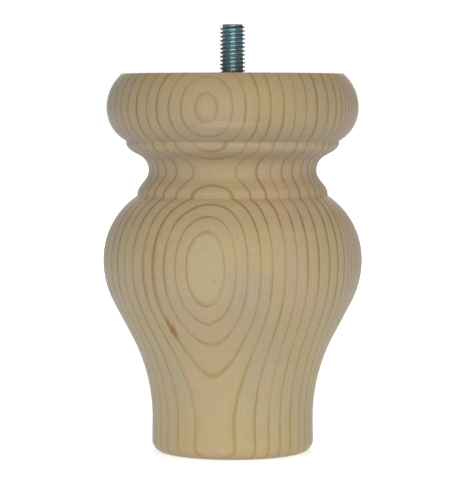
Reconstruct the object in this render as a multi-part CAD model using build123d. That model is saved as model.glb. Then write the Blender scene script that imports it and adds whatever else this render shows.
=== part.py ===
from build123d import *
from math import atan2, copysign, cos, radians, sin, tan
import os

# A turned softwood furniture leg that carries a steel hanger bolt, by which it is screwed under a cabinet,
# a bed or a sofa. It stands on its foot: the origin is the centre of the foot's underside, and +Z runs up
# the turning axis. All lengths are in millimetres.
#
# The outline is given as it is cut on a lathe, from the top face down. Each member takes its radius from
# the member above it, by a step in or a swell out, and its height from the one above it too. The long
# flank between the vase and the ankle takes up what is left of the leg's height.

leg_height = 120.0

# Bun: the round cushion under the top face
bun_radius = 39.9
bun_rise = 10.8          # from its widest line up to the top face
bun_fall = 10.4          # from its widest line down to the quirk
top_roll = 4.8           # from its widest line in to the top face's edge
quirk_step = 6.15        # from its widest line in to the fillet under it

# Fillet: the narrow upright band under the bun
fillet_height = 1.2

# Ovolo and cove: from the fillet's lower edge in to the neck's narrowest line
ovolo_height = 8.1       # from the fillet's lower edge down to the narrowest line
ovolo_straight = 2.75    # straight run between the ovolo's round and the cove's hollow
cove_depth = 7.15        # from the fillet in to the narrowest line
cove_radius = 5.2        # of the hollow above the narrowest line
cove_sweep = 61.0        # degrees that this hollow turns through

# Bead: the small round ring under the cove
bead_drop = 7.7          # from the narrowest line down to the bead's widest line
bead_swell = 3.6         # from the neck out to the bead
bead_straight = 2.75     # straight run between the hollow and the bead's round
bead_share = 0.5         # the bead's round, as a share of the two radii added together
bead_land = 0.35         # upright strip between the bead's widest line and the corner under it

# Vase: the large swelling
shoulder_height = 20.35  # from the corner under the bead down to the vase's widest line
vase_swell = 10.9        # from the bead out to the vase
vase_share = 0.34        # the vase's round below its widest line, as a share of both radii down to the ankle
flank_straight = 11.6    # straight run between the vase's round and the ankle's hollow

# Ankle and foot
ankle_height = 10.7      # of the ankle's narrowest line over the floor
ankle_depth = 15.55      # from the vase in to the ankle
foot_flare = 0.1         # from the ankle out to the foot
foot_round = 3.6         # radius of the foot's lower edge
centre_mark_diameter = 4.0   # dimple that the lathe's tail centre leaves in the foot's underside
centre_mark_angle = 60.0     # degrees across its cone

# Hanger bolt: machine thread above the top face, wood screw inside the leg
stud_diameter = 8.0
stud_length = 15.5       # stands out of the top face
stud_chamfer_depth = 0.8
stud_chamfer_height = 1.1
shank_diameter = 7.1     # plain part in the wood, the blank that the machine thread is rolled on
shank_length = 9.5
screw_core_diameter = 5.6
screw_length = 25.0      # wood screw, with its point
screw_point_length = 7.0
screw_tip_diameter = 1.0
mouth_clearance = 0.2    # the bolt hole's mouth is chamfered until it clears the stud by this all round

# Heights over the floor
bun_z = leg_height - bun_rise
quirk_z = bun_z - bun_fall
fillet_z = quirk_z - fillet_height
neck_z = fillet_z - ovolo_height
bead_z = neck_z - bead_drop
corner_z = bead_z - bead_land
vase_z = corner_z - shoulder_height

# Radii
top_radius = bun_radius - top_roll
fillet_radius = bun_radius - quirk_step
neck_radius = fillet_radius - cove_depth
bead_radius = neck_radius + bead_swell
vase_radius = bead_radius + vase_swell
ankle_radius = vase_radius - ankle_depth
foot_radius = ankle_radius + foot_flare

# Directions in the outline's own plane
UP = (0, 1)
DOWN = (0, -1)


def reverse_curve(swelling, waist, straight, share):
    """A round, a straight and a hollow from a swelling to a waist, with no kink, and upright at both ends.

    The straight's lean follows from the step in, the height and its own length. What is left of the height
    gives the two radii added together, and share says how much of that is the swelling's."""
    step_in = swelling[0] - waist[0]
    height = abs(swelling[1] - waist[1])
    way = copysign(1, waist[1] - swelling[1])
    lean = 2 * atan2(step_in, height + straight)
    both_radii = (height - straight * cos(lean)) / sin(lean)
    round_radius = both_radii * share
    hollow_radius = both_radii - round_radius
    leave = (swelling[0] - round_radius * (1 - cos(lean)), swelling[1] + way * round_radius * sin(lean))
    arrive = (waist[0] + hollow_radius * (1 - cos(lean)), waist[1] - way * hollow_radius * sin(lean))
    return [
        TangentArc(swelling, leave, tangent=(0, way)),
        Line(leave, arrive),
        TangentArc(waist, arrive, tangent=(0, -way)),
    ]


def bun_lines():
    """The top face, the two arcs of the bun and the fillet under it."""
    widest = (bun_radius, bun_z)
    top_edge = (top_radius, leg_height)
    quirk = (fillet_radius, quirk_z)
    return [
        Line((0, leg_height), top_edge),
        TangentArc(widest, top_edge, tangent=UP),
        TangentArc(widest, quirk, tangent=DOWN),
        Line(quirk, (fillet_radius, fillet_z)),
    ]


def ovolo_lines():
    """The cove's upper hollow, a straight run, and the ovolo that carries on from it to the fillet."""
    neck = (neck_radius, neck_z)
    turn = radians(cove_sweep)
    heading = (sin(turn), cos(turn))
    hollow_end = (neck_radius + cove_radius * (1 - cos(turn)), neck_z + cove_radius * sin(turn))
    ovolo_start = (hollow_end[0] + ovolo_straight * heading[0], hollow_end[1] + ovolo_straight * heading[1])
    return [
        TangentArc(ovolo_start, (fillet_radius, fillet_z), tangent=heading),
        Line(hollow_end, ovolo_start),
        TangentArc(neck, hollow_end, tangent=UP),
    ]


def bead_lines():
    """The cove's lower hollow, the bead, and the upright strip down to the corner under it."""
    bead = (bead_radius, bead_z)
    return [
        *reverse_curve(bead, (neck_radius, neck_z), bead_straight, bead_share),
        Line(bead, (bead_radius, corner_z)),
    ]


def vase_lines():
    """The vase's shoulder, and the long flank down to the ankle."""
    vase = (vase_radius, vase_z)
    return [
        TangentArc(vase, (bead_radius, corner_z), tangent=UP),
        *reverse_curve(vase, (ankle_radius, ankle_height), flank_straight, vase_share),
    ]


def foot_lines():
    """The foot's slight flare, its rounded edge and its flat underside, and the axis back up to the top."""
    side_end = (foot_radius, foot_round)
    floor_edge = (foot_radius - foot_round, 0)
    return [
        Line((ankle_radius, ankle_height), side_end),
        TangentArc(side_end, floor_edge, tangent=DOWN),
        Line(floor_edge, (0, 0)),
        Line((0, 0), (0, leg_height)),
    ]


def turned(outline):
    """The solid that an outline of radii and heights sweeps about the leg's axis."""
    return revolve(Plane.XZ * make_face(outline), Axis.Z)


def turned_blank():
    """The turned leg as it leaves the lathe, with the tail centre's mark in its foot."""
    blank = turned(Wire(bun_lines() + ovolo_lines() + bead_lines() + vase_lines() + foot_lines()))
    mark_radius = centre_mark_diameter / 2
    mark_depth = mark_radius / tan(radians(centre_mark_angle / 2))
    return blank - Cone(mark_radius, 0, mark_depth, align=(Align.CENTER, Align.CENTER, Align.MIN))


def hanger_bolt():
    """Stud, shank and wood screw in one piece. The stud starts at the top face, and the rest is in the wood."""
    stud_radius = stud_diameter / 2
    shank_radius = shank_diameter / 2
    core_radius = screw_core_diameter / 2
    end_z = leg_height + stud_length
    shank_z = leg_height - shank_length
    tip_z = shank_z - screw_length
    outline = Polyline(
        (0, end_z),
        (stud_radius - stud_chamfer_depth, end_z),
        (stud_radius, end_z - stud_chamfer_height),
        (stud_radius, leg_height),
        (shank_radius, leg_height),
        (shank_radius, shank_z),
        (core_radius, shank_z),
        (core_radius, tip_z + screw_point_length),
        (screw_tip_diameter / 2, tip_z),
        (0, tip_z),
        close=True,
    )
    return turned(outline)


def hole_mouth():
    """The cone that chamfers the bolt hole's mouth at 45 degrees."""
    shank_radius = shank_diameter / 2
    mouth_radius = stud_diameter / 2 + mouth_clearance
    depth = mouth_radius - shank_radius
    cone = Cone(shank_radius, mouth_radius, depth, align=(Align.CENTER, Align.CENTER, Align.MAX))
    return Pos(0, 0, leg_height) * cone


bolt = hanger_bolt()
leg = turned_blank() - bolt - hole_mouth()

os.makedirs("parts", exist_ok=True)
export_step(leg, "parts/turned_leg.step")
export_step(bolt, "parts/hanger_bolt.step")
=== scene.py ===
# %% [markdown]
# # A turned softwood leg and its hanger bolt
#
# The real object is a furniture foot, turned on a lathe from one block of pale softwood, with a steel stud
# standing out of its top. Two things make it look real: the crisp mouldings, which a cutter leaves, and the
# year rings of the tree, which show as ovals and stripes wherever the cut runs through them.
#
# The packed model is loaded first. It fixes the size and the place of everything: metres, z up, the foot
# standing on z = 0, and the box of the leg is read from it. Nothing below may leave its box.

import bmesh
import bpy
import numpy as np
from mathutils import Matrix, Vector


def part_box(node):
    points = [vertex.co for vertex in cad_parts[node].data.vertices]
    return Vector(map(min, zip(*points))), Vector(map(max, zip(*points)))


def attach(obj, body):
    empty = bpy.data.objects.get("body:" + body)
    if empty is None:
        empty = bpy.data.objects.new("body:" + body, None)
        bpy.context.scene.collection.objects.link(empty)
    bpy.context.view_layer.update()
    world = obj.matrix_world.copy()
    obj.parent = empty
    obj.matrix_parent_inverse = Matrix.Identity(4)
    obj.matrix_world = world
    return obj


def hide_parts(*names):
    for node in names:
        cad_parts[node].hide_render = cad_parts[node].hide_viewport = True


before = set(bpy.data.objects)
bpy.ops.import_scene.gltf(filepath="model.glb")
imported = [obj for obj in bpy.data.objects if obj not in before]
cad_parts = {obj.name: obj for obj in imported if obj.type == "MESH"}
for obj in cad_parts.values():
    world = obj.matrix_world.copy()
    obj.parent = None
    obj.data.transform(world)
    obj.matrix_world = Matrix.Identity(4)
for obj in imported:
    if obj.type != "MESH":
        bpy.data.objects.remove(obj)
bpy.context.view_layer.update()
wood_low, wood_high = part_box("turned_leg")
MM = 0.001
print("nodes:", sorted(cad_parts))
print("wood, mm:", [round((b - a) / MM, 2) for a, b in zip(wood_low, wood_high)])

# %% [markdown]
# ## The camera
#
# A camera is a place, a direction and a lens. The photograph was taken from a little under the height of the
# top face with a long lens, so the mouldings look nearly flat, but their lower edges still curve downwards.
# The lens is given as on a camera with a 36 mm sensor, which Blender lays along the longer side.

# %% The camera
CAMERA_AWAY = 800.0          # mm from the leg's axis
CAMERA_UP = 111.5            # mm over the floor
CAMERA_RIGHT = 0.28          # mm right of the axis
LOOKS_DOWN = 3.395           # degrees
LENS = 181.4

camera = bpy.data.objects.new("camera", bpy.data.cameras.new("camera"))
camera.data.lens = LENS
camera.data.clip_start, camera.data.clip_end = 0.01, 50.0
camera.location = (CAMERA_RIGHT * MM, -CAMERA_AWAY * MM, CAMERA_UP * MM)
camera.rotation_euler = (np.radians(90 - LOOKS_DOWN), 0.0, 0.0)
bpy.context.scene.collection.objects.link(camera)
bpy.context.scene.camera = camera
bpy.context.scene.view_settings.view_transform = "Standard"
print("camera: lens", LENS, "mm,", CAMERA_AWAY, "mm away, looking down", LOOKS_DOWN, "degrees")

# %% [markdown]
# ## Lines for an outline
#
# A turned shape is one outline spun about its axis, so the outline is where the form is decided. A turner
# sees it as rounds and hollows that run into each other without a corner. Two formulas are enough for all
# of them: an arc that leaves a point in a given direction, and a reverse curve, which is a round, a
# straight and a hollow between two upright tangents. Points are pairs of radius and height, in mm.

# %% Arcs and reverse curves
def tangent_arc(start, direction, end, points=60):
    """The one arc that leaves start along direction (0 is outward, 90 up, in degrees) and ends at end.
    Its radius is the chord squared over twice the chord's part along the normal at start, and it turns
    through twice the angle between direction and chord. A point on it is start + radius x (sin a along
    direction, 1 - cos a along the normal)."""
    ahead = np.array([np.cos(np.radians(direction)), np.sin(np.radians(direction))])
    aside = np.array([-ahead[1], ahead[0]])
    chord = np.subtract(end, start)
    radius = chord @ chord / (2 * chord @ aside)
    angle = np.linspace(0, 2 * np.arctan2(chord @ aside, chord @ ahead), points)
    return start + radius * (np.outer(np.sin(angle), ahead) + np.outer(1 - np.cos(angle), aside))


def reverse_curve(start, end, straight, share, points=60):
    """A round that leaves start upright, a straight of that length, and a hollow that ends upright at end.
    The straight leans by twice the angle whose tangent is step / (drop + straight); both radii together
    are (drop - straight x cos lean) / sin lean, and share of that is the round's."""
    step, drop = start[0] - end[0], abs(start[1] - end[1])
    way = np.sign(end[1] - start[1])
    lean = 2 * np.arctan2(step, drop + straight)
    radii = (drop - straight * np.cos(lean)) / np.sin(lean)
    a = np.linspace(0, lean, points)
    round_part = np.c_[-share * radii * (1 - np.cos(a)), way * share * radii * np.sin(a)] + start
    hollow = (1 - share) * radii
    hollow_part = np.c_[hollow * (1 - np.cos(a)), -way * hollow * np.sin(a)][::-1] + end
    return np.vstack([round_part, hollow_part])


print("a quarter round of 10 mm ends at", tangent_arc((0, 0), 0, (10, 10))[-1].round(3))

# %% [markdown]
# ## The outline of the leg
#
# From the top down: the rim of the stud's hole, the flat top, the bun, a quirk and a narrow fillet, an ovolo
# that runs into a cove, a bead, the large vase, the slim ankle and the foot with its rounded edge. The last
# points are the small cone that the lathe's centre left underneath. The sizes repeat those of the CAD source.

# %% The outline
UP, DOWN = 90, -90
LEG_HEIGHT = 120.0
hole_rim, hole_mouth = (3.57, 119.35), (4.2, LEG_HEIGHT)       # the small chamfer round the stud
top_edge, quirk, fillet_foot = (35.1, LEG_HEIGHT), (33.75, 98.8), (33.75, 97.6)
COVE_LEAN = 29.0                                  # degrees over level, where the ovolo meets the cove
ovolo_start, cove_end, cove_foot = (31.684, 95.381), (29.279, 94.048), (26.6, 89.5)
bun_waist, bead_waist, vase_waist = (39.9, 109.2), (30.2, 81.8), (41.1, 61.1)
vase_top, ankle_waist = (30.2, 81.45), (25.55, 10.7)
foot_edge, foot_flat = (25.65, 3.6), (22.05, 0.0)
centre_rim, centre_tip = (2.0, 0.0), (0.0, 3.46)

corners = np.vstack([
    [hole_rim, hole_mouth],
    tangent_arc(bun_waist, UP, top_edge)[::-1],
    tangent_arc(bun_waist, DOWN, quirk),
    tangent_arc(ovolo_start, COVE_LEAN, fillet_foot)[::-1],
    tangent_arc(cove_foot, UP, cove_end)[::-1],
    reverse_curve(bead_waist, cove_foot, straight=2.75, share=0.5)[::-1],
    tangent_arc(vase_waist, UP, vase_top)[::-1],
    reverse_curve(vase_waist, ankle_waist, straight=11.6, share=0.34),
    tangent_arc(foot_edge, DOWN, foot_flat),
    [centre_rim, centre_tip],
])
print("outline: widest", corners[:, 0].max().round(2), "mm, the CAD's", round(wood_high.x / MM, 2))

# %% [markdown]
# ## From corners to worn edges
#
# No edge on wood is perfectly sharp: sanding takes off a tenth of a millimetre, and that is what catches the
# light. Blurring the outline along its own length with a bell curve rounds each corner by about that much and
# leaves the long curves alone. The rows of the mesh are then placed where the outline bends most, so a
# corner gets many rows and a straight only a few.

# %% Softened edges and well placed rows
def along(points):
    """The distance from the first point to each point, measured along the line."""
    return np.r_[0, np.cumsum(np.hypot(*np.diff(points, axis=0).T))]


def spaced(points, at):
    """The places on the line at these distances along it."""
    s = along(points)
    return np.c_[np.interp(at, s, points[:, 0]), np.interp(at, s, points[:, 1])]


def softened(points, wear, step=0.03):
    """The line blurred along itself: each point becomes the mean of its neighbours, weighted by a bell curve
    of width wear. Past the two ends the line is mirrored through them, so the ends stay."""
    fine = spaced(points, np.arange(0, along(points)[-1], step))
    reach = int(4 * wear / step)
    bell = np.exp(-0.5 * (np.arange(-reach, reach + 1) * step / wear) ** 2)
    padded = np.pad(fine, ((reach, reach), (0, 0)), mode="reflect", reflect_type="odd")
    return np.c_[[np.convolve(padded[:, k], bell / bell.sum(), "valid") for k in (0, 1)]].T


SHORTEST_ROW = 0.07                # mm from one row to the next


def rows_where_it_bends(points, chord_error, longest):
    """Fewer points on the same line. The step between two rows is the one at which an arc stands off its
    chord by chord_error, sqrt(8 x error / bend), but never less than SHORTEST_ROW or more than longest."""
    s = along(points)
    heading = np.unwrap(np.arctan2(*np.gradient(points, axis=0).T[::-1]))
    bend = np.abs(np.gradient(heading, s)) + 1e-9
    step = np.clip(np.sqrt(8 * chord_error / bend), SHORTEST_ROW, longest)
    count = np.r_[0, np.cumsum(np.diff(s) / step[1:])]
    return spaced(points, np.interp(np.linspace(0, count[-1], int(count[-1]) + 2), count, s))


EDGE_WEAR = 0.11
outline = rows_where_it_bends(softened(corners, EDGE_WEAR), chord_error=0.004, longest=1.2)
outline[-1, 0] = 0.0
print("outline:", len(corners), "drawn points,", len(outline), "rows")

# %% [markdown]
# ## A skin over a grid
#
# Every piece here is a grid of points, rows down and columns round, with one four-sided face in each cell.
# Where a row shrinks to the axis, or two rows are squeezed together, points fall on each other. Merging
# them closes the poles and the seam, and what is left has no open edge.

# %% Grids into closed meshes
def spin(points, angles):
    """A grid from an outline: x = r cos a, y = r sin a, z = h, for each point (r, h) and each angle a."""
    r, h = points.T[:, :, None]
    return np.stack([r * np.cos(angles), r * np.sin(angles), h + 0 * angles], -1)


def skin(name, grid, sharp_over=60):
    """A piece from a grid of points in mm. Cells are quads that face outwards when rows run down and columns
    anticlockwise. Points closer than a ten-thousandth of a millimetre are merged."""
    rows, columns = grid.shape[:2]
    n = np.arange(rows * columns).reshape(rows, columns)
    cells = np.stack([n[:-1, :-1], n[1:, :-1], n[1:, 1:], n[:-1, 1:]], -1).reshape(-1, 4)
    mesh = bpy.data.meshes.new(name)
    mesh.from_pydata((grid.reshape(-1, 3) * MM).tolist(), [], cells.tolist())
    work = bmesh.new()
    work.from_mesh(mesh)
    bmesh.ops.remove_doubles(work, verts=work.verts, dist=1e-4 * MM)
    bmesh.ops.dissolve_degenerate(work, edges=work.edges, dist=1e-5 * MM)
    open_edges = sum(not e.is_manifold for e in work.edges)
    triangles = sum(len(f.verts) - 2 for f in work.faces)
    work.to_mesh(mesh)
    work.free()
    mesh.shade_smooth()
    mesh.set_sharp_from_angle(angle=np.radians(sharp_over))
    piece = bpy.data.objects.new(name, mesh)
    bpy.context.scene.collection.objects.link(piece)
    print(name, "has", triangles, "triangles and", open_edges, "open edges")
    return piece


# %% [markdown]
# ## Screw threads
#
# A thread is a shape that climbs as it goes round. Its height at any angle is its place in the section plus
# the pitch times the turn, so the rows of the grid climb in the same way and every crest edge lies exactly on
# a row. The rows are held between two heights, where they are squeezed flat and merge into a level ring.
# The stud has a machine thread, M8 with 1.25 mm pitch. In the wood the same bolt has a coarse wood thread,
# and the hole is cut by that thread, so one formula serves the screw and its hole.

# %% Climbing rows
THREAD_START = -0.26               # of a turn: where the crest passes the +x side at height 0


def climbing_rows(low, high, pitch, corners_at, radius, angles):
    """Rows that climb one pitch a turn: height = place + pitch x turn, held between low and high. The radius
    is a function of the height and of the phase, which is height / pitch - turn, less whole turns."""
    turn = angles / (2 * np.pi) + THREAD_START
    whole = np.arange(np.floor(low / pitch) - 1, np.ceil(high / pitch) + 1)
    place = ((whole[:, None] + corners_at) * pitch).ravel()[:, None]
    height = np.clip(place + pitch * turn, low, high)
    r = radius(height, (height / pitch - turn) % 1.0)
    return np.stack([r * np.cos(angles), r * np.sin(angles), height], -1)


STUD_TOP, STUD_RADIUS, SHANK_RADIUS = 135.5, 4.0, 3.55
MACHINE_PITCH, MACHINE_DEPTH, MACHINE_CREST = 1.25, 0.72, 0.09      # the crest as a share of the pitch
CREST_MIDDLE = 0.0625                                               # its place in the pitch
GROOVE_ROWS, GROOVE_POWER = 15, 1.6
RUN_OUT = [119.4, 120.5]                                            # heights: no thread, full thread
END_RADIUS, CHAMFER_WIDE, CHAMFER_DEEP = 3.2, 0.8, 1.1              # mm, at the stud's flat end
after_crest = np.linspace(0, 1 - MACHINE_CREST, GROOVE_ROWS)
MACHINE_PHASES = np.sort((CREST_MIDDLE + MACHINE_CREST / 2 + after_crest) % 1.0)


def machine_thread(height, phase):
    """The stud's radius: a narrow crest, and a groove that is a cosine wave raised to GROOVE_POWER, which
    widens the root as rolling does. The thread runs out into the shank at the hole's rim, and the cone of
    the chamfer trims it at the top."""
    away = np.abs((phase - CREST_MIDDLE + 0.5) % 1.0 - 0.5)
    down = np.clip((away - MACHINE_CREST / 2) / (0.5 - MACHINE_CREST / 2), 0, 1)
    thread = STUD_RADIUS - MACHINE_DEPTH * (1 - ((1 + np.cos(np.pi * down)) / 2) ** GROOVE_POWER)
    grown = np.interp(height, RUN_OUT, [0, 1])
    chamfer = END_RADIUS + (STUD_TOP - height) * CHAMFER_WIDE / CHAMFER_DEEP
    return np.minimum(SHANK_RADIUS + grown * (thread - SHANK_RADIUS), chamfer)


SCREW_PITCH, SCREW_RIDGE, SCREW_CORE = 3.2, 1.15, 2.8
SCREW_TOP, SCREW_POINT, SCREW_TIP = 110.5, 92.5, 85.5
SCREW_PHASES = np.array([0, .06, .22, .53, .84])
SCREW_SHARES = np.array([1, 1, 0, 0, 0])                # of the ridge's height, at those phases
RIDGE_FULL = 106.5                                      # the height under which the ridge is full
TIP_SHARE, CORE_STEP = 0.18, 1.0                        # the tip's share of the core; mm from core to shank


def wood_thread(height, phase):
    """The screw's radius: a slim ridge on a core. Both shrink in step towards the point, and the ridge runs
    out below the shank."""
    share = np.interp(phase, np.r_[SCREW_PHASES, 1], np.r_[SCREW_SHARES, 1])
    taper = np.interp(height, [SCREW_TIP, SCREW_POINT], [TIP_SHARE, 1])
    ridge = np.interp(height, [RIDGE_FULL, SCREW_TOP], [1, 0])
    core = np.interp(height, [SCREW_TOP - CORE_STEP, SCREW_TOP], [SCREW_CORE, SHANK_RADIUS])
    return taper * (core + SCREW_RIDGE * ridge * share)


print("thread turns on the stud:", round((STUD_TOP - LEG_HEIGHT) / MACHINE_PITCH, 1))

# %% [markdown]
# ## The wooden leg
#
# The leg is the outline spun in 192 steps, and before it, going up, the hole that the bolt's screw has cut.
# It is one closed skin, with no face where nothing can be seen through.

# %% The wood
LEG_COLUMNS = 192
around = np.linspace(0, 2 * np.pi, LEG_COLUMNS + 1)
SLACK = 0.02                        # mm of room round the screw
HOLE_END = SCREW_TIP - 0.1          # and a little under its tip
hole = climbing_rows(HOLE_END, SCREW_TOP, SCREW_PITCH, SCREW_PHASES,
                     lambda h, p: wood_thread(h, p) + SLACK, around)
hole_tip = spin(np.array([(0.0, HOLE_END)]), around)
leg = skin("pine_leg", np.vstack([hole_tip, hole, spin(outline, around)]))

# %% [markdown]
# ## The hanger bolt
#
# One bolt, from the top: the flat end, the machine thread, the plain shank and the wood thread with its
# point. Only the stud shows, but a loose part has to be whole. The flat end is dished a little, as a
# cropped and rolled bar is.

# %% The bolt
BOLT_COLUMNS = 96
about = np.linspace(0, 2 * np.pi, BOLT_COLUMNS + 1)
stud = climbing_rows(hole_rim[1], STUD_TOP, MACHINE_PITCH, MACHINE_PHASES, machine_thread, about)[::-1]
screw = climbing_rows(SCREW_TIP, SCREW_TOP, SCREW_PITCH, SCREW_PHASES, wood_thread, about)[::-1]
DISH = [(0.0, 0.25), (1.6, 0.2), (2.7, 0.04)]          # radius, and depth under the top, in mm
end = spin(np.array([(radius, STUD_TOP - depth) for radius, depth in DISH]), about)
tip = spin(np.array([(0.0, SCREW_TIP)]), about)
bolt = skin("zinc_bolt", np.vstack([end, stud, screw, tip]), sharp_over=35)

# %% [markdown]
# ## Helpers for materials
#
# A material is a tree of nodes. A few small helpers keep the trees readable: they add a node and feed its
# inputs, do sums, fade one range into another, tint one colour towards another and draw a curve. Patterns are
# measured in millimetres on the object itself, so they go right through it like the grain of real wood,
# whatever side is looked at.

# %% Helpers for node trees
class Nodes:
    """Adds nodes to one tree. An input is fed by another node's output, or by a plain number."""

    def __init__(self, tree):
        self.tree = tree

    def add(self, kind, feeds=(), out=0, **settings):
        made = self.tree.nodes.new(kind)
        for name, value in settings.items():
            setattr(made, name, value)
        for key, value in dict(feeds).items():
            if isinstance(value, bpy.types.NodeSocket):
                self.tree.links.new(value, made.inputs[key])
            else:
                made.inputs[key].default_value = value
        return made.outputs[out] if made.outputs else made

    def sum(self, how, *values):
        return self.add("ShaderNodeMath", enumerate(values), operation=how)

    def vector(self, how, *values, out=0):
        return self.add("ShaderNodeVectorMath", enumerate(values), out, operation=how)

    def length(self, at):
        return self.vector("LENGTH", at, out="Value")

    def axis(self, at, name):
        return self.add("ShaderNodeSeparateXYZ", {0: at}, name)

    def noise(self, at, size, detail=2.0, roughness=0.5):
        """Noise with size waves to the millimetre along x, y and z."""
        return self.add("ShaderNodeTexNoise", {"Vector": self.vector("MULTIPLY", at, size), "Scale": 1.0,
                                               "Detail": detail, "Roughness": roughness})

    def fade(self, value, low, high, to_low=0.0, to_high=1.0):
        """value brought from low..high to to_low..to_high, easing in and out."""
        return self.add("ShaderNodeMapRange", {0: value, 1: low, 2: high, 3: to_low, 4: to_high},
                        interpolation_type="SMOOTHSTEP")

    def tint(self, amount, plain, other, how="MIX"):
        """plain, turned towards other by amount."""
        sides = [v if isinstance(v, bpy.types.NodeSocket) else (*v, 1.0) for v in (plain, other)]
        return self.add("ShaderNodeMix", {0: amount, 6: sides[0], 7: sides[1]}, 2, data_type="RGBA",
                        blend_type=how, clamp_factor=True)

    def curve(self, value, points):
        """A drawn curve through points, straight between them."""
        made = self.add("ShaderNodeFloatCurve", {"Value": value})
        drawn = made.node.mapping.curves[0].points
        for x, y in points[1:-1]:
            drawn.new(x, y)
        for point, place in zip(drawn, points):
            point.location = place
            point.handle_type = "VECTOR"
        made.node.mapping.update()
        return made


def new_material(name):
    """An empty material with a surface shader. Gives the material, its nodes and the shader."""
    material = bpy.data.materials.new(name)
    material.use_nodes = True
    material.node_tree.nodes.clear()
    nodes = Nodes(material.node_tree)
    shader = nodes.add("ShaderNodeBsdfPrincipled").node
    nodes.add("ShaderNodeOutputMaterial", {"Surface": shader.outputs[0]})
    return material, nodes, shader


def object_mm(n):
    """The place on the object itself, in mm."""
    place = n.vector("SCALE", n.add("ShaderNodeTexCoord", out="Object"))
    place.node.inputs["Scale"].default_value = 1 / MM
    return place


print("helpers:", [name for name in vars(Nodes) if name[0] != "_"])

# %% [markdown]
# ## The year rings
#
# Softwood is a stack of cones inside each other, one for each year, and the pith is their middle. Here the
# pith runs past the front of the leg, so the front shows ovals and the sides stripes. The distance from the
# pith line gives the place in the tree; a drawn curve turns it into a count of years, because good years are
# wide and bad ones narrow; and what is left over from the whole number says how late in the year it is.
# Spring wood is pale. The dark summer wood comes in slowly and stops dead when winter comes.

# %% Rings from the pith outwards
PITH = (-9.39, -47.33, 60.0)            # mm, a point of the pith half way up
PITH_TURN = (0.0112, 0.0029, 0.0)       # radians, the lean of the tree's own upright
OFF_CENTRE = 0.0456                     # the rings are a little wider on one side
YEARS_MM = [3.2, 3.2, 3.4, 2.9, 3.5, 4.1, 3.7, 4.5, 4.1, 4.1, 4.4, 4.5, 4.0, 3.2, 2.2, 2.3]
YEARS_MM += [2.2 + 0.35 * np.sin(2.4 * year) for year in range(18)]
TREE_MM = sum(YEARS_MM)
SEASON = [(0, 0.95), (0.03, 0.60), (0.07, 0.25), (0.12, 0.06), (0.18, 0.0), (0.45, 0.0), (0.60, 0.05),
          (0.70, 0.12), (0.78, 0.22), (0.85, 0.40), (0.92, 0.76), (0.97, 1.0), (1, 1.0)]
# How dark each year's summer wood is: faint near the pith, strongest from the 14th to the 22nd year, and in
# between further out. A drawn curve ends at 1, so it holds each darkness as a share of DARKEST.
DARKEST = 1.6
DARKNESS = [0.50, 0.66, 0.60, 0.67, 0.72, 0.84, 0.71, 0.88, 0.75, 0.84]
DARKNESS += [0.96, 0.82, 1.10, 1.35] + [1.48 + 0.12 * np.sin(2.9 * year) for year in range(8)]
DARKNESS += [1.08 + 0.12 * np.sin(2.9 * year) for year in range(8, len(YEARS_MM) - 14)]
WOBBLES = ((0.09, 0.035, 0.5), (0.40, 0.10, 0.22), (1.3, 0.25, 0.14))     # waves a mm across and along, reach


def year_rings(n, place):
    """From a place in mm: how far the summer wood has come (0 to 1), how dark that year's is, and the
    distance. Distance = length from the pith line + a small share of the way to its right."""
    tree = n.add("ShaderNodeMapping", {"Vector": place, "Location": PITH, "Rotation": PITH_TURN},
                 vector_type="TEXTURE")
    far = n.length(n.vector("MULTIPLY", tree, (1.0, 1.0, 0.0)))
    far = n.sum("MULTIPLY_ADD", n.axis(tree, "X"), OFF_CENTRE, far)
    for round_it, along_grain, reach in WOBBLES:
        wave = n.noise(place, (round_it, round_it, along_grain), 3.0)
        far = n.sum("ADD", far, n.sum("MULTIPLY_ADD", wave, reach, -reach / 2))
    ends = np.r_[0, np.cumsum(YEARS_MM)] / TREE_MM
    count = [(float(e), k / len(YEARS_MM)) for k, e in enumerate(ends)]
    years = n.sum("MULTIPLY", n.curve(n.sum("DIVIDE", far, TREE_MM), count), float(len(YEARS_MM)))
    late = n.curve(n.sum("FRACT", years), SEASON)
    each = [((k + 0.5) / len(YEARS_MM), float(dark / DARKEST)) for k, dark in enumerate(DARKNESS)]
    middle = n.sum("DIVIDE", n.sum("ADD", n.sum("FLOOR", years), 0.5), float(len(YEARS_MM)))
    return late, n.sum("MULTIPLY", n.curve(middle, each), DARKEST), far


print("years in the block:", len(YEARS_MM), "over", round(TREE_MM, 1), "mm")

# %% [markdown]
# ## The finish of the wood: its rings in colour
#
# The wood is bare and sanded. Broad soft patches are pinker, yellower or greyer, and a pale heart shows where
# the pith comes close. The summer wood turns darker up the leg, and it is stronger on the left side and on the
# shoulder of the vase. The patches are noise stretched along the grain, which is upright here.

# %% Spring wood and summer wood
SPRING, TAN = (0.525, 0.412, 0.240), (0.500, 0.365, 0.176)
SUMMER_LOW, SUMMER_HIGH = (0.402, 0.280, 0.128), (0.346, 0.220, 0.099)     # at the foot, at the top
ROSE, STRAW, GREY = (0.545, 0.406, 0.250), (0.525, 0.418, 0.216), (0.492, 0.402, 0.262)
HEART, HEART_EDGE = (0.545, 0.455, 0.258), (12.0, 8.0)      # mm from the pith: none, full
LEFT_SIDE, LEFT_STRONGER = (-12.0, -30.0), 1.20             # mm right of the axis: none, full
SHOULDER, SHOULDER_REACH, SHOULDER_STRONGER = 76.5, (2.2, 6.0), 1.4

pine, n, shader = new_material("pine_bare_sanded")
place = object_mm(n)
across, height = n.axis(place, "X"), n.axis(place, "Z")
late, own, far = year_rings(n, place)


def stretched(n, place, round_it, along_grain, detail=2.0, roughness=0.5):
    """Noise whose blots are 1 / round_it mm across the grain and 1 / along_grain mm along it."""
    return n.noise(place, (round_it, round_it, along_grain), detail, roughness)


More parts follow.
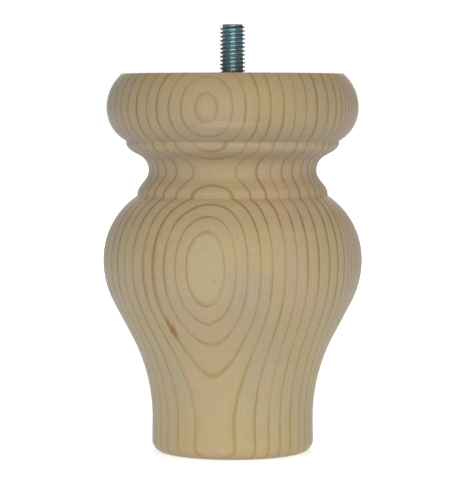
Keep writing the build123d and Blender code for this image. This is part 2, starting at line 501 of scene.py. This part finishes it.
def band(n, height, middle, reach, inside, outside=0.0):
    """A level band: inside up to the first reach from its middle, outside past the second, in mm."""
    return n.fade(n.sum("ABSOLUTE", n.sum("SUBTRACT", height, middle)), *reach, inside, outside)


spring = n.tint(n.fade(stretched(n, place, 0.06, 0.018), 0.40, 0.60), ROSE, STRAW)
spring = n.tint(n.fade(stretched(n, place, 0.15, 0.05, 3.0), 0.40, 0.66), spring, SPRING)
spring = n.tint(n.fade(stretched(n, place, 0.045, 0.03, 1.0), 0.50, 0.70), spring, GREY)
spring = n.tint(n.fade(far, *HEART_EDGE, 0.0, 0.8), spring, HEART)
strength = n.sum("MULTIPLY", n.sum("MULTIPLY", late, own), n.fade(across, *LEFT_SIDE, 1.0, LEFT_STRONGER))
strength = n.sum("MULTIPLY", strength, n.fade(stretched(n, place, 0.12, 0.04, 3.0), 0.35, 0.65, 0.72, 1.10))
shoulder = band(n, height, SHOULDER, SHOULDER_REACH, SHOULDER_STRONGER, 1.0)
strength = n.sum("MULTIPLY", strength, shoulder)
wood = n.tint(n.fade(strength, 0.0, 0.6), spring, TAN)
summer = n.tint(n.fade(height, 10.0, 90.0), SUMMER_LOW, SUMMER_HIGH)
wood = n.tint(n.fade(strength, 0.3, 1.0), wood, summer)
print("pine, rings:", len(pine.node_tree.nodes), "nodes")

# %% [markdown]
# ## Tone, painted light and shade, fibres
#
# The block is a little darker towards the top: partly its own tone, partly painted shade. Bands in the hollows,
# on top of the vase, in the ovolo and under the bun, are painted bluer, the first two also paler, as painted
# fill light where shade falls, and a fine dark line of painted shade lies in the corner on top of the vase.
# These tones were matched to the photo by measure. Then come the hair-fine fibres, longer streaks, and pores as
# short dashes.

# %% Tone and fibres
# Darker towards the top: partly the wood's own tone, partly painted shade.
AT_THE_FOOT, HALF_WAY, AT_THE_TOP = (1.015, 1.015, 0.905), (0.895, 0.885, 0.915), (0.815, 0.80, 0.765)
# Painted fill light: the hollows painted bluer, the first two also paler, where shade falls.
PAINTED_FILL_BANDS = (                       # height, reach, tint
    (79.0, 3.2, (1.06, 1.07, 1.15)),    # on top of the vase: paler
    (96.4, 3.0, (1.07, 1.08, 1.16)),    # in the ovolo: paler
    (100.4, 3.6, (0.98, 0.99, 1.10)),   # under the bun: only less yellow
)
# Painted shade: a fine darker, yellower line in the corner where the bead meets the vase top.
PAINTED_CORNER_SHADE, PAINTED_CORNER_SHADE_REACH = 81.7, (0.2, 1.3)

# Partly painted shade: the tone darkens towards the top.
tone = n.tint(n.sum("DIVIDE", height, 80.0), AT_THE_FOOT, HALF_WAY)
tone = n.tint(n.fade(height, 80.0, 112.0), tone, AT_THE_TOP)
wood = n.tint(1.0, wood, tone, "MULTIPLY")
# Painted fill light in the hollows, where shade falls.
for middle, reach, painted_fill in PAINTED_FILL_BANDS:
    wood = n.tint(band(n, height, middle, (0.0, reach), 1.0), wood, painted_fill, "MULTIPLY")
# Painted shade in that corner.
wood = n.tint(band(n, height, PAINTED_CORNER_SHADE, PAINTED_CORNER_SHADE_REACH, 0.8), wood, (0.99, 0.93, 0.81), "MULTIPLY")

fibres = stretched(n, place, 2.6, 0.16, 4.0, 0.6)
streaks = stretched(n, place, 0.9, 0.03, 3.0, 0.6)
wood = n.tint(n.fade(fibres, 0.25, 0.75, 0.0, 0.34), wood, (0.90, 0.87, 0.81), "MULTIPLY")
wood = n.tint(n.fade(streaks, 0.30, 0.70, 0.0, 0.50), wood, (0.93, 0.90, 0.84), "MULTIPLY")
pores = n.fade(stretched(n, place, 3.4, 0.33, 1.0, 0.3), 0.70, 0.78, 0.0, 0.30)
wood = n.tint(pores, wood, (0.72, 0.60, 0.45), "MULTIPLY")
print("pine, tone and fibres:", len(pine.node_tree.nodes), "nodes")

# %% [markdown]
# ## Resin, end grain and marks of the work
#
# A streak of resin has soaked the torn fibres low on the left, and there are a few dark flecks. End grain is
# darker, because the fibres come out at the surface and drink the light: it is found by how far the surface
# faces up or down. Fine marks run round the piece, left by the lathe, and a few scratches on the bun.

# %% Resin, end grain and marks
RESIN = (0.31, 0.160, 0.045)
SOAKED = (                                                  # middle, half lengths, amount
    ((-18.6, -29.2, 41.5), (3.7, 5.0, 8.0), 1.0),           # a streak of resin
    ((-23.5, -32.0, 60.0), (6.0, 6.0, 22.0), 0.45),         # and the stain above it
)
FLECKS = (
    ((-5.5, -40.4, 56.9), (0.5, 1.5, 0.55), 0.6),
    ((-5.8, -35.5, 44.3), (0.35, 1.5, 0.9), 0.4),
    ((0.2, -37.6, 73.4), (0.3, 1.5, 1.6), 0.25),
    ((1.6, -39.0, 70.6), (0.3, 1.5, 1.3), 0.25),
)
SCRATCHED = ((-1.0, -39.0, 104.3), (12.0, 12.0, 1.6))


def blot(n, place, centre, size):
    """1 at centre, falling to 0 at the skin of an egg with these half lengths in mm."""
    off = n.vector("SUBTRACT", place, centre)
    return n.fade(n.length(n.vector("DIVIDE", off, size)), 0.2, 1.0, 1.0, 0.0)


ragged = n.sum("MULTIPLY_ADD", stretched(n, place, 1.3, 0.3), 0.7, n.sum("SUBTRACT", late, 0.35))
for centre, size, amount in SOAKED:
    soaked = n.sum("MULTIPLY", blot(n, place, centre, size), n.fade(ragged, 0.0, 0.30, 0.0, amount))
    wood = n.tint(soaked, wood, RESIN)
for centre, size, amount in FLECKS:
    wood = n.tint(n.sum("MULTIPLY", blot(n, place, centre, size), amount), wood, RESIN)

facing = n.add("ShaderNodeTexCoord", out="Normal")
end_grain = n.fade(n.sum("ABSOLUTE", n.axis(facing, "Z")), 0.25, 1.0)
cells = n.noise(place, (5.0, 5.0, 0.8), 2.0, 0.6)
wood = n.tint(n.sum("MULTIPLY", end_grain, n.fade(cells, 0.3, 0.7, 0.35, 0.75)), wood,
              (0.95, 0.87, 0.76), "MULTIPLY")

marks = stretched(n, place, 0.05, 4.0, 4.0, 0.65)
wood = n.tint(n.fade(marks, 0.35, 0.70, 0.0, 0.60), wood, (0.92, 0.91, 0.88), "MULTIPLY")
scratches = n.sum("MULTIPLY", blot(n, place, *SCRATCHED), n.fade(marks, 0.40, 0.60))
wood = n.tint(n.sum("MULTIPLY", scratches, 0.35), wood, (0.66, 0.56, 0.37))
n.tree.links.new(wood, shader.inputs["Base Color"])
print("pine, colour done:", len(pine.node_tree.nodes), "nodes")

# %% [markdown]
# ## Gloss and relief of the wood
#
# The gloss is low. The summer wood is a little shinier and stands a few hundredths of a millimetre proud,
# because the sandpaper bites the soft spring wood. The heights below are in millimetres.

# %% Gloss and relief
SUMMER_PROUD, FIBRE_HIGH, MARK_HIGH, PORE_DEEP = 0.030, 0.018, 0.012, 0.04
gloss = n.sum("SUBTRACT", 0.58, n.sum("MULTIPLY", strength, 0.10))
gloss = n.sum("MULTIPLY_ADD", fibres, 0.08, gloss)
n.tree.links.new(gloss, shader.inputs["Roughness"])
relief = n.sum("MULTIPLY_ADD", strength, SUMMER_PROUD, n.sum("MULTIPLY", fibres, FIBRE_HIGH))
relief = n.sum("MULTIPLY_ADD", marks, MARK_HIGH, n.sum("SUBTRACT", relief, n.sum("MULTIPLY", pores, PORE_DEEP)))
bump = n.add("ShaderNodeBump", {"Height": relief, "Distance": MM, "Strength": 1.0})
n.tree.links.new(bump, shader.inputs["Normal"])
shader.inputs["IOR"].default_value = 1.40
shader.inputs["Sheen Weight"].default_value = 0.22
shader.inputs["Sheen Roughness"].default_value = 0.45
leg.data.materials.append(pine)
print("pine:", len(pine.node_tree.nodes), "nodes")

# %% [markdown]
# ## The finish of the bolt
#
# The bolt is steel with a thin coat of zinc that has gone dull: a blue grey, clouded and finely specked. The
# crests of the thread are rougher than its flanks and painted darker, a painted shade that keeps their
# highlight dim. The crests are found by the distance from the axis, so no picture has to be wrapped
# round the thread.

# %% The zinc
ZINC_DARK, ZINC_PALE, SPECK = (0.30, 0.443, 0.506), (0.373, 0.52, 0.598), (0.16, 0.20, 0.22)
# The crest colour is painted shade, which keeps the crests' highlight dim.
CREST_PAINTED_SHADE, CREST_FROM, CREST_TO = (0.12, 0.15, 0.17), 3.50, 3.90       # its colour, and mm from the axis

zinc, n, shader = new_material("zinc_dulled")
place = object_mm(n)
radius = n.length(n.vector("MULTIPLY", place, (1.0, 1.0, 0.0)))
clouds = n.noise(place, (0.5, 0.5, 0.35), 4.0)
specks = n.noise(place, (6.0, 6.0, 6.0), 3.0, 0.6)
metal = n.tint(n.fade(clouds, 0.35, 0.65), ZINC_DARK, ZINC_PALE)
metal = n.tint(n.fade(specks, 0.58, 0.75, 0.0, 0.15), metal, SPECK)
crest = n.fade(radius, CREST_FROM, CREST_TO)
# Painted shade: the crests turned darker.
metal = n.tint(n.sum("MULTIPLY", crest, 0.58), metal, CREST_PAINTED_SHADE)
n.tree.links.new(metal, shader.inputs["Base Color"])
dull = n.sum("MULTIPLY_ADD", crest, 0.16, n.fade(specks, 0.2, 0.8, 0.28, 0.34))
n.tree.links.new(dull, shader.inputs["Roughness"])
n.tree.links.new(n.add("ShaderNodeBump", {"Height": specks, "Distance": 0.002 * MM}),
                 shader.inputs["Normal"])
shader.inputs["Metallic"].default_value = 1.0
bolt.data.materials.append(zinc)
print("zinc:", len(zinc.node_tree.nodes), "nodes")

# %% [markdown]
# ## Light
#
# The photograph is a product shot: soft light from the camera's side and pure white behind. Two tall narrow
# lamps stand close beside the camera and draw the two bright lines on the stud. A square lamp high behind the
# leg lights its top. The rest comes from the world: a big soft source round the camera, a warm white wall on
# the right, one further off on the left, white paper behind and a pale ceiling.
#
# The white background is not more light. It is what camera rays see where there is nothing, and reflections
# have a strength of their own, so the leg itself is lit at a plain level.

# %% Lamps
WARM = (1.0, 0.93, 0.80)
LAMPS_AIM_AT = 0.06                # m over the floor


def softbox(name, turn, up, away, width, height, watts):
    """A rectangular lamp on a circle round the leg, turn degrees right of the camera, facing mid-leg."""
    lamp = bpy.data.objects.new(name, bpy.data.lights.new(name, "AREA"))
    lamp.data.shape = "RECTANGLE"
    lamp.data.size, lamp.data.size_y, lamp.data.energy = width, height, watts
    lamp.data.color = WARM
    lamp.location = (away * np.sin(np.radians(turn)), -away * np.cos(np.radians(turn)), LAMPS_AIM_AT + up)
    lamp.rotation_euler = (np.pi / 2 - np.arctan2(up, away), 0.0, np.radians(turn))
    bpy.context.scene.collection.objects.link(lamp)


softbox("lamp_left", turn=-12.5, up=0.28, away=1.1, width=0.15, height=0.75, watts=2.45)
softbox("lamp_right", turn=12.5, up=0.28, away=1.1, width=0.15, height=0.75, watts=2.8)
softbox("lamp_back", turn=180, up=0.45, away=1.1, width=0.60, height=0.60, watts=5.0)

# %% The world
FRONT_LIGHT = 0.66                 # the big soft source round the camera, at its middle
SIDE_LIGHT = 0.34                  # a white wall on the right
LEFT_SHARE = 0.56                  # and one on the left that stands further off
BACK_LIGHT = 0.80                  # white paper behind the leg
SKY_LIGHT = 0.42                   # a pale ceiling
FRONT_IN_A_MIRROR = 0.30           # the soft source and the paper, as the zinc and the wood's gloss see them
SIDES_IN_A_MIRROR, BACK_IN_A_MIRROR = 0.08, 0.75
COOL, RIGHT_WALL = (0.95, 1.0, 1.10), (1.02, 0.98, 0.80)
IN_A_MIRROR, WHITE = (1.0, 0.98, 0.93), (1.0, 1.0, 1.0)
MIDDLE = (0.0, -0.996, 0.087)      # the direction of the soft source, 5 degrees over level


def kinds_of_ray(n):
    """Three outputs, 1 or 0 each: a camera ray, a reflected ray, and one that passes through something."""
    return [n.add("ShaderNodeLightPath", out=name) for name in
            ("Is Camera Ray", "Is Glossy Ray", "Is Transmission Ray")]


def between(n, share, a, b):
    """a where share is 0, b where it is 1, and in step between."""
    return n.add("ShaderNodeMix", {0: share, 2: a, 3: b})


world = bpy.data.worlds.new("studio")
bpy.context.scene.world = world
world.use_nodes = True
world.node_tree.nodes.clear()
n = Nodes(world.node_tree)
way = n.add("ShaderNodeTexCoord", out="Generated")
right, behind, above = [n.axis(way, name) for name in "XYZ"]
front = n.sum("MAXIMUM", n.vector("DOT_PRODUCT", way, MIDDLE, out="Value"), 0.0)
beside = n.sum("MAXIMUM", right, n.sum("MULTIPLY", right, -LEFT_SHARE))
lit = n.sum("MULTIPLY_ADD", n.sum("POWER", beside, 3.0), SIDE_LIGHT, n.sum("MULTIPLY", front, FRONT_LIGHT))
lit = n.sum("ADD", lit, n.fade(behind, 0.5, 1.0, 0.0, BACK_LIGHT))
lit = n.sum("MULTIPLY_ADD", n.sum("MAXIMUM", above, 0.0), SKY_LIGHT, lit)
mirrored = n.sum("MULTIPLY", n.sum("POWER", front, 2.0), FRONT_IN_A_MIRROR)
mirrored = n.sum("ADD", mirrored, n.fade(behind, 0.80, 0.95, SIDES_IN_A_MIRROR, BACK_IN_A_MIRROR))
camera_ray, mirror_ray, through_ray = kinds_of_ray(n)
seen = n.sum("MAXIMUM", camera_ray, through_ray)
strength = between(n, seen, between(n, mirror_ray, lit, mirrored), 1.0)
tone = n.tint(n.fade(right, 0.2, 0.9), COOL, RIGHT_WALL)
tone = n.tint(seen, n.tint(mirror_ray, tone, IN_A_MIRROR), WHITE)
sky = n.add("ShaderNodeBackground", {"Color": tone, "Strength": strength})
n.add("ShaderNodeOutputWorld", {"Surface": sky})
print("world: front", FRONT_LIGHT, "back", BACK_LIGHT, "and white where it is seen")

# %% [markdown]
# ## The floor
#
# The floor is pale paper that also glows. For camera rays and reflections the glow brings it up to white and
# leaves the soft shadow under the foot. For all other rays the glow is weak and cool, and weaker further out:
# it is the light that the paper sends up under the mouldings.

# %% The floor
HALF_WIDTH = 6.0                                                   # m
UNDER_THE_FOOT = -0.02 * MM          # a hair of room, or the floor and the foot would fight for the same place
PAPER = (0.58, 0.61, 0.66, 1)
GLOW_NEAR, GLOW_FAR = (0.655, 0.64, 0.63), (0.9, 0.9, 0.9)         # what the eye gets
GLOW_REACH = (0.2, 1.0)                                            # m from the axis: near, far
BOUNCE_NEAR, BOUNCE_FAR = (0.29, 0.33, 0.43), (0.22, 0.27, 0.40)   # what the leg gets
BOUNCE_REACH = (0.04, 0.15)

mesh = bpy.data.meshes.new("floor")
sheet = np.array([(-1, -1, 0), (1, -1, 0), (1, 1, 0), (-1, 1, 0)]) * HALF_WIDTH + (0, 0, UNDER_THE_FOOT)
mesh.from_pydata(sheet.tolist(), [], [(0, 1, 2, 3)])
floor = bpy.data.objects.new("floor", mesh)
bpy.context.scene.collection.objects.link(floor)
paper = bpy.data.materials.new("floor_paper")
paper.use_nodes = True
paper.node_tree.nodes.clear()
n = Nodes(paper.node_tree)
plain = n.add("ShaderNodeBsdfDiffuse", {"Color": PAPER})
away = n.length(n.add("ShaderNodeTexCoord", out="Object"))
seen = n.tint(n.fade(away, *GLOW_REACH), GLOW_NEAR, GLOW_FAR)
bounced = n.tint(n.fade(away, *BOUNCE_REACH), BOUNCE_NEAR, BOUNCE_FAR)
camera_ray, mirror_ray, through_ray = kinds_of_ray(n)
by_eye_or_mirror = n.sum("MAXIMUM", n.sum("MAXIMUM", camera_ray, mirror_ray), through_ray)
glow = n.add("ShaderNodeEmission", {"Color": n.tint(by_eye_or_mirror, bounced, seen)})
n.add("ShaderNodeOutputMaterial", {"Surface": n.add("ShaderNodeAddShader", {0: plain, 1: glow})})
floor.data.materials.append(paper)
print("floor:", floor.dimensions.x, "m wide")

# %% [markdown]
# ## Attaching the pieces
#
# Each piece rides on the one body that the model has, and the CAD solid that it replaces is hidden.

# %% Finish
for piece, node_name, slot_name in ((leg, "turned_leg", "pine"), (bolt, "hanger_bolt", "zinc_steel")):
    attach(piece, "root")
    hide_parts(node_name)
